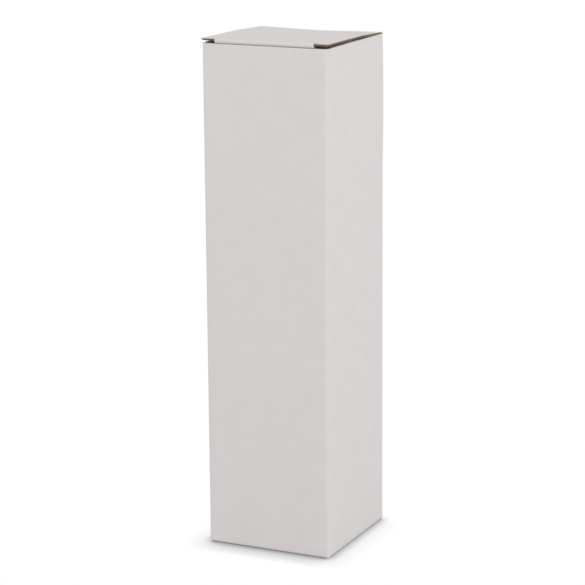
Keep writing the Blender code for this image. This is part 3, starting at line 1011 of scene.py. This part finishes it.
lid_top = TUCK_HINGE.z + HALF_BOARD
bead_foot = HEIGHT + BEAD_CLEARANCE
bead_front = BEAD_SETBACK - HALF_DEPTH
brow_foot = lid_top - BROW
belly = (brow_foot - bead_foot) / math.sin(math.radians(UNDERCUT))
tuck_outer = wall_of_tuck([lid_point(d * MM, HALF_BOARD) for d in (65, 66.5, 68)])
tuck_outer += wall_of_tuck(turn_points((bead_front + BROW, brow_foot), BROW, 88, 180, 8))
tuck_outer += wall_of_tuck(turn_points((bead_front + belly, brow_foot), belly, 184,
                                       180 + UNDERCUT, 8))
tuck_outer += [(y, HALF_BOARD) for y in (TUCK_HINGE.z - bead_foot, 2.4 * MM, FLAP_START)]
tuck_inner = [(FLAP_START, -HALF_BOARD)]
tuck_inner += [(y * MM, -HALF_BOARD) for y in (2.6, 1.9, 1.3)]
tuck_inner += wall_of_tuck([lid_point(d * MM, -HALF_BOARD) for d in (67.5, 66.9, 66.2, 65)])
tuck_section = tuck_outer + tuck_inner
tuck_half = [
    (TUCK_HALF, -OVERRUN, 0),
    (TUCK_HALF, 2 * MM, 0),
    (TUCK_SHOULDER, 2 * MM, 1 * MM),
    (TUCK_SHOULDER, TUCK_LENGTH, 6 * MM),
]
tuck = flap("tuck_board", mirrored(tuck_half), WHITE[2], tuck_section, len(tuck_outer),
            FLAP_START)
put_in_place(tuck, TUCK_HINGE, TUCK_INTO, TUCK_OUT)
smooth(tuck)
print("radius of the bead's belly in mm:", round(belly / MM, 2))
report(tuck)

# %% [markdown]
# ## The dust flaps
#
# Under the lid, a flap from each side wall closes most of the opening. Their slanted edges let
# the lid lift and drop without catching. The photograph shows their folds as a white line
# below the lid's brown edge. Their crease is a right angle of crushed board, drawn as a
# section like the others.

# %% The dust flaps' crease and their cut sides
TIP_GAP = 1.25 * MM
FRONT_GAP = 5.6 * MM
DUST_TIP = DUST_HINGE.x - TIP_GAP
DUST_FRONT = HALF_DEPTH - BOARD - FRONT_GAP
SIDE_FOLD = HALF_DEPTH - FOLD_RADIUS
DUST_SLOPE = 0.55


def side_section(wall_length, start):
    """The section of a right-angle crease, from the wall's cut line to the flap's papers."""
    outer = [(-HALF_BOARD, -wall_length), (-HALF_BOARD, -2.2 * MM), (-HALF_BOARD, -1.1 * MM)]
    outer += turn_points((0, 0), HALF_BOARD, 180, 90, 8)
    outer += [(1.1 * MM, HALF_BOARD), (2.2 * MM, HALF_BOARD), (start, HALF_BOARD)]
    inner = [(start, -HALF_BOARD), (2.7 * MM, -HALF_BOARD), (2.0 * MM, -HALF_BOARD)]
    inner += [(1.4 * MM, -HALF_BOARD), (0.95 * MM, -0.95 * MM), (HALF_BOARD, -1.4 * MM)]
    inner += [(HALF_BOARD, -2.0 * MM), (HALF_BOARD, -2.7 * MM), (HALF_BOARD, -wall_length)]
    return outer + inner, len(outer)


def dust_rims(corners):
    """The cut sides of a dust flap: front, tip and rear, with the board on their left."""
    points = [(x, y) for x, y, _ in corners]
    if points[0][0] < 0:
        points.reverse()
    return [(points[i], points[i + 1]) for i in (1, 2, 3, 4)]


side_crease, dust_outer_count = side_section(DUST_HINGE.z - SHOULDER, FLAP_START)
print("points in the crease's section:", len(side_crease))

# %% [markdown]
# A dust flap isn't flat either. Its front corner shows under the ear in the photograph, a
# little up on the left and pressed down on the right. And where the lid's rear edge is sunk,
# the flap hangs lower, or the two would cut each other. Both are proportional moves on the
# finished flap. The strip by the crease is hidden first, so that it stays on its wall.

# %% Bend a flap out of its plane
CREASE_KEPT = HALF_WIDTH - 1.3 * MM
CORNER = (29 * MM, -28 * MM)
REAR = (24.5 * MM, 12 * MM)
DROOP = -1.0 * MM
DROOP_REACH = 18 * MM


def ease(board, chosen, rise, spread):
    """Bend the chosen part of a flap up or down, and leave its crease alone."""
    edit(board)
    pick("verts", lambda vertex: abs(vertex.co.x) > CREASE_KEPT)
    bpy.ops.mesh.hide()
    pick("verts", chosen)
    move((0, 0, rise), use_proportional_edit=True, proportional_edit_falloff="SMOOTH",
         proportional_size=spread)
    bpy.ops.mesh.reveal()
    done()


def front_corner(vertex):
    """Whether a vertex is at the flap's front corner, next to its crease."""
    return abs(vertex.co.x) > CORNER[0] and vertex.co.y < CORNER[1]


def rear_part(vertex):
    """Whether a vertex lies under the lid's sunk rear."""
    return abs(vertex.co.x) < REAR[0] and vertex.co.y > REAR[1]


print("strip kept on the wall starts at", round(CREASE_KEPT / MM, 2), "mm from the middle")

# %% A pair of dust flaps
DUST_NECK = 0.8 * MM
DUST_RIM = 1.8 * MM
DUST_SETTLE = 0.1 * MM
dust_flaps = []
for name, side, rear, rise, spread in (
        ("dust_board_right", 1, SIDE_FOLD, -1.6 * MM, 24 * MM),
        ("dust_board_left", -1, WALL_REAR, 0.75 * MM, 14 * MM)):
    rear_tip = SIDE_FOLD - DUST_TIP * DUST_SLOPE
    corners = [
        (-SIDE_FOLD, -OVERRUN, 0),
        (-SIDE_FOLD, DUST_NECK, 0),
        (-DUST_FRONT, DUST_NECK + SIDE_FOLD - DUST_FRONT, 0),
        (-DUST_FRONT, DUST_TIP, 6 * MM),
        (rear_tip, DUST_TIP, 3 * MM),
        (rear, DUST_NECK, 0),
        (rear, -OVERRUN, 0),
    ]
    placed = [(side * x, y, radius) for x, y, radius in corners]
    board = flap(name, placed, WHITE[0], side_crease, dust_outer_count, FLAP_START)
    hinge = Vector((side * DUST_HINGE.x, 0, DUST_HINGE.z))
    crush(board, dust_rims(placed), DUST_RIM, 0.3, DUST_SETTLE)
    cross_cuts(board, range(-30, 31, 5), range(6, 31, 4))
    put_in_place(board, hinge, (-side, 0, 0), (0, 0, 1))
    ease(board, front_corner, rise, spread)
    ease(board, rear_part, DROOP, DROOP_REACH)
    smooth(board)
    dust_flaps.append(board)
    report(board)

# %% [markdown]
# ## The snap-lock bottom
#
# Four flaps lock into each other without glue. The front flap is outermost; the side flaps lie
# on it; the back flap comes last, and its slot lets the front flap's tongue through, to lap
# over it inside. Each flap rises over the ones below by a ramp, which is where the board bends.

# %% The bottom flaps' crease
LOCK_HALF = 19 * MM
TONGUE_HALF = 12 * MM
SLOT_HALF = TONGUE_HALF + 1 * MM
BOTTOM_RADIUS = 1.6 * MM
MITRE = 0.7 * MM + HALF_BOARD
bottom_outer = [(-HALF_BOARD, -FOOT + HALF_BOARD)]
bottom_outer += turn_points((BOTTOM_RADIUS - HALF_BOARD, HALF_BOARD - BOTTOM_RADIUS),
                            BOTTOM_RADIUS, 180, 90, 8)
bottom_outer += [(BOTTOM_START, HALF_BOARD)]
bottom_inner = [(BOTTOM_START, -HALF_BOARD), (HALF_BOARD + 0.3 * MM, -HALF_BOARD),
                (HALF_BOARD, -HALF_BOARD - 0.3 * MM), (HALF_BOARD, -FOOT + HALF_BOARD)]
bottom_section = bottom_outer + bottom_inner
RAMP_END = HALF_WIDTH - HALF_BOARD - LOCK_HALF - 0.75 * MM


def bottom_flap(name, corners, hinge, into, white, ramp):
    """A bottom flap in its place. The ramp is where it starts, its length and its rise."""
    board = flap(name, corners, white, bottom_section, len(bottom_outer), BOTTOM_START, ramp)
    put_in_place(board, Vector(hinge), into, (0, 0, -1))
    smooth(board)
    report(board)
    return board


def slanted(limit, half_side, tip):
    """A flap's slanted shoulder, from its fold's end to its narrower part."""
    edge = half_side - MITRE
    return [(limit, -OVERRUN, 0), (limit, edge - limit, 0), (tip, edge - tip, 0)]


print("a bottom flap's ramp ends at", round(RAMP_END / MM, 2), "mm from its crease")

# %% The front and side flaps
TONGUE = 22 * MM
TONGUE_RAMP = 10 * MM
SIDE_RAMP = 5 * MM
front_fold = HALF_WIDTH - FOLD_RADIUS
panel_end = HALF_DEPTH - HALF_BOARD - 2 * MM
tongue_tip = panel_end + TONGUE
front_half = slanted(front_fold, HALF_WIDTH, LOCK_HALF) + [
    (LOCK_HALF, panel_end, 3 * MM), (TONGUE_HALF, panel_end, 0),
    (TONGUE_HALF, tongue_tip, 5 * MM)]
bottoms = [bottom_flap("bottom_front_board", mirrored(front_half),
                       (0, HALF_BOARD - HALF_DEPTH, HALF_BOARD), (0, 1, 0), WHITE[1],
                       (panel_end, TONGUE_RAMP, 3 * LAYER))]

side_tip = LOCK_HALF + HALF_DEPTH - HALF_WIDTH
hinge_x = HALF_WIDTH - HALF_BOARD
for name, side, rear in (("bottom_right_board", 1, SIDE_FOLD),
                         ("bottom_left_board", -1, WALL_REAR)):
    half = slanted(SIDE_FOLD, HALF_DEPTH, side_tip)
    half += [(side_tip, hinge_x - SLOT_HALF, 3 * MM)]
    corners = mirrored(half)
    if rear < SIDE_FOLD:
        corners = [(min(x, rear), y, radius) for x, y, radius in corners]
    bottoms.append(bottom_flap(name, corners, (side * hinge_x, 0, HALF_BOARD), (-side, 0, 0),
                               WHITE[0], (RAMP_END - SIDE_RAMP, SIDE_RAMP, LAYER)))

# %% The back flap with its slot
SLOT_SETBACK = 8.5 * MM
HORN = 20 * MM
BACK_RAMP = 8.5 * MM
back_hinge = HALF_DEPTH - HALF_BOARD
slot_end = back_hinge - SLOT_SETBACK
horn_end = slot_end + HORN
tip_radius = 0.35 * (LOCK_HALF - SLOT_HALF)
horn = [(LOCK_HALF, horn_end, tip_radius), (SLOT_HALF, horn_end, tip_radius),
        (SLOT_HALF, slot_end, 0)]
left_fold = front_fold - LAYER
left = [(-x, y, radius) for x, y, radius in reversed(slanted(left_fold, HALF_WIDTH, LOCK_HALF))]
back_corners = slanted(front_fold, HALF_WIDTH, LOCK_HALF) + mirrored(horn) + left
bottoms.append(bottom_flap("bottom_back_board", back_corners, (0, back_hinge, HALF_BOARD),
                           (0, -1, 0), WHITE[1],
                           (RAMP_END - BACK_RAMP, BACK_RAMP, 2 * LAYER)))

# %% [markdown]
# ## What moves with what
#
# A closed box moves at four creases. The tube and the bottom flaps go on the carton's body.
# The lid, the dust flaps and the tuck flap only have their placing baked into their meshes.
# The CAD part's nodes that these pieces replace are hidden.


def bend(piece):
    """Bake the piece's transform into its mesh and leave its object at the origin."""
    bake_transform(piece)


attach(tube, "carton")
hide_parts("front_wall", "back_wall", "left_wall", "right_wall", "glue_flap")
for board, cad_node in zip(bottoms, ("bottom_front_flap", "bottom_right_flap",
                                     "bottom_left_flap", "bottom_back_flap")):
    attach(board, "carton")
    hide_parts(cad_node)
bend(lid)
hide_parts("lid_panel")
for board, side, body, cad_node in ((dust_flaps[0], 1, "right_dust", "right_dust_flap"),
                                    (dust_flaps[1], -1, "left_dust", "left_dust_flap")):
    hinge = Vector((side * DUST_HINGE.x, 0, DUST_HINGE.z))
    bend(board)
    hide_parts(cad_node)
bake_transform(tuck)
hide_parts("tuck_flap")

# %% [markdown]
# ## Floor, light and camera
#
# The photograph is a product picture on pure white. The floor is white to the camera and keeps
# only the box's own soft shadow, and what the box receives is plain, even light: a pale world
# and two large soft lamps.
#
# A shadow as faint as the photograph's is a matter of what stands in the way of the light, so
# the floor works it out with Ambient Occlusion. A short reach gives the dark line where the
# box touches the floor, and a longer reach, which looks towards the back, the soft wisp. A
# very long reach finds the floor that the box shuts off from the room. It is turned black, or
# it would shine up white between the bottom flaps when one looks into the open box.

# %% How much light reaches a point of the floor
FLOOR_DROP = 0.05 * MM
CONTACT_REACH = 5.4 * MM
CONTACT_DEPTH = 0.62
SHADOW_REACH = 15.5 * MM
SHADOW_DEPTH = 0.44
LIGHT_LEAN = math.radians(60)
ENCLOSED_REACH = 300 * MM
SAMPLES = {"samples": 16}


def open_share(tree, facing, reach, depth):
    """How much light from that side still reaches the floor past what stands nearby."""
    seen = node(tree, "AmbientOcclusion", SAMPLES, Distance=reach, Normal=facing.outputs[0])
    return node(tree, "Math", {"operation": "POWER"}, _0=seen.outputs["AO"], _1=depth)


def floor_glow(tree):
    """White light where the floor is open, less of it where the box stands in the way."""
    upright = node(tree, "CombineXYZ", Z=1)
    leaning = node(tree, "CombineXYZ", Y=math.sin(LIGHT_LEAN), Z=math.cos(LIGHT_LEAN))
    glow = open_share(tree, upright, CONTACT_REACH, CONTACT_DEPTH)
    soft = open_share(tree, leaning, SHADOW_REACH, SHADOW_DEPTH)
    glow = node(tree, "Math", {"operation": "MULTIPLY"}, _0=glow.outputs[0], _1=soft.outputs[0])
    room = node(tree, "AmbientOcclusion", SAMPLES, Distance=ENCLOSED_REACH)
    outside = node(tree, "MapRange", _0=room.outputs["AO"], From_Min=0.02, From_Max=0.1)
    glow = node(tree, "Math", {"operation": "MULTIPLY"}, _0=glow.outputs[0],
                _1=outside.outputs[0])
    return node(tree, "Emission", Color=(1, 1, 1, 1), Strength=glow.outputs[0])


print("reach of the contact shadow and of the wisp in mm:", round(CONTACT_REACH / MM, 2),
      round(SHADOW_REACH / MM, 2))

# %% [markdown]
# The camera sees that glow, and the box gets the light that a matt, pale grey floor throws back
# at it. The floor's underside is clear, so the box can be looked at from below. And the square
# under the box lets light through, or the bottom flaps would be dark from there.

# %% The floor
FLOOR_SIDE = 6
FLOOR_GREY = "#E4E4E4"
COVERED = HALF_WIDTH - 0.5 * MM


def under_the_box(tree):
    """1 in the square that the box stands on, 0 elsewhere."""
    spot = node(tree, "SeparateXYZ", _0=node(tree, "TexCoord").outputs["Object"])
    across = node(tree, "Math", {"operation": "ABSOLUTE"}, _0=spot.outputs[0])
    along = node(tree, "Math", {"operation": "ABSOLUTE"}, _0=spot.outputs[1])
    reach = node(tree, "Math", {"operation": "MAXIMUM"}, _0=across.outputs[0],
                 _1=along.outputs[0])
    return node(tree, "Math", {"operation": "LESS_THAN"}, _0=reach.outputs[0], _1=COVERED)


def stage_floor():
    """A large white floor, just under the box."""
    bpy.ops.mesh.primitive_plane_add(size=FLOOR_SIDE, location=(0, 0, -FLOOR_DROP))
    floor = bpy.context.object
    floor.name = "studio_floor"
    finish = bpy.data.materials.new("white_studio_floor")
    finish.use_nodes = True
    tree = finish.node_tree
    tree.nodes.clear()
    matt = node(tree, "BsdfDiffuse", Color=srgb(FLOOR_GREY))
    lit = floor_glow(tree)
    path = node(tree, "LightPath")
    seen = node(tree, "Math", {"operation": "MAXIMUM"}, _0=path.outputs["Is Camera Ray"],
                _1=path.outputs["Is Glossy Ray"])
    clear = node(tree, "BsdfTransparent")
    covered = under_the_box(tree)
    ground = node(tree, "MixShader", _0=covered.outputs[0], _1=matt.outputs[0],
                  _2=clear.outputs[0])
    above = node(tree, "MixShader", _0=seen.outputs[0], _1=ground.outputs[0], _2=lit.outputs[0])
    face = node(tree, "NewGeometry")
    sided = node(tree, "MixShader", _0=face.outputs["Backfacing"], _1=above.outputs[0],
                 _2=clear.outputs[0])
    node(tree, "OutputMaterial", Surface=sided.outputs[0])
    floor.data.materials.append(finish)
    return floor


print("floor:", stage_floor().name)

# %% [markdown]
# The world is white to the camera. To the box it is less bright, and most of the board's tone
# comes from it: about 210 of 255 levels on the front wall, as in the photograph.

# %% The world
WORLD_STRENGTH = 0.77


def studio_world(strength):
    """White as seen, and plain even light of the given strength on the box."""
    world = bpy.data.worlds.new("studio")
    bpy.context.scene.world = world
    world.use_nodes = True
    tree = world.node_tree
    tree.nodes.clear()
    path = node(tree, "LightPath")
    seen = node(tree, "Math", {"operation": "MAXIMUM"}, _0=path.outputs["Is Camera Ray"],
                _1=path.outputs["Is Transmission Ray"])
    seen = node(tree, "Math", {"operation": "MAXIMUM"}, _0=seen.outputs[0],
                _1=path.outputs["Is Glossy Ray"])
    plain = node(tree, "Background", Color=(1, 1, 1, 1), Strength=strength)
    white = node(tree, "Background", Color=(1, 1, 1, 1), Strength=1.0)
    mix = node(tree, "MixShader", _0=seen.outputs[0], _1=plain.outputs[0], _2=white.outputs[0])
    node(tree, "OutputWorld", Surface=mix.outputs[0])


studio_world(WORLD_STRENGTH)
print("world strength on the box:", WORLD_STRENGTH)

# %% [markdown]
# In the photograph the right wall is about 4 of 255 levels lighter than the front, and both
# walls are 6 or 7 levels darker at the foot than at the top. A lamp high in front on the left
# and a stronger, larger one high on the right stand in for that light.

# %% Lamps
AIM = (0, 0, 0.15)


def soft_lamp(name, place, size, watts, colour):
    """A square area lamp that points at the middle of the box."""
    light = bpy.data.lights.new(name, "AREA")
    light.size = size
    light.energy = watts
    light.color = srgb(colour)[:3]
    lamp = bpy.data.objects.new(name, light)
    bpy.context.scene.collection.objects.link(lamp)
    lamp.location = place
    lamp.rotation_euler = (Vector(AIM) - Vector(place)).to_track_quat("-Z", "Y").to_euler()
    print(name, "watts:", watts)


soft_lamp("front_left_softbox", (-0.5, -0.8, 0.72), 0.6, 2.2, "#FFF9FB")
soft_lamp("right_softbox", (1.7, -0.5, 0.95), 1.0, 11.6, "#FBFDFD")

# %% [markdown]
# The camera was found by fitting a pinhole to the box's corners in the photograph. It looks
# down by 13.4 degrees and sees the box turned by 25 degrees, from about 1.2 metres.
# A focal length found in pixels becomes one in millimetres through the sensor's width.

# %% Camera
SENSOR = 36.0
FRAME_PIXELS = 585
FOCAL_PIXELS = 2317.7
HEADING = math.radians(25.433)
PITCH = math.radians(90 - 13.393)
ROLL = math.radians(-0.444)
CAMERA_PLACE = (0.51058, -1.07787, 0.41606)
lens = bpy.data.cameras.new("photo_camera")
lens.sensor_fit = "HORIZONTAL"
lens.sensor_width = SENSOR
lens.lens = FOCAL_PIXELS * SENSOR / FRAME_PIXELS
lens.clip_end = 50
camera = bpy.data.objects.new("photo_camera", lens)
bpy.context.scene.collection.objects.link(camera)
turn = (Matrix.Rotation(HEADING, 4, "Z") @ Matrix.Rotation(PITCH, 4, "X")
        @ Matrix.Rotation(ROLL, 4, "Z"))
camera.matrix_world = Matrix.Translation(CAMERA_PLACE) @ turn
bpy.context.scene.camera = camera
print("lens in mm:", round(lens.lens, 1))
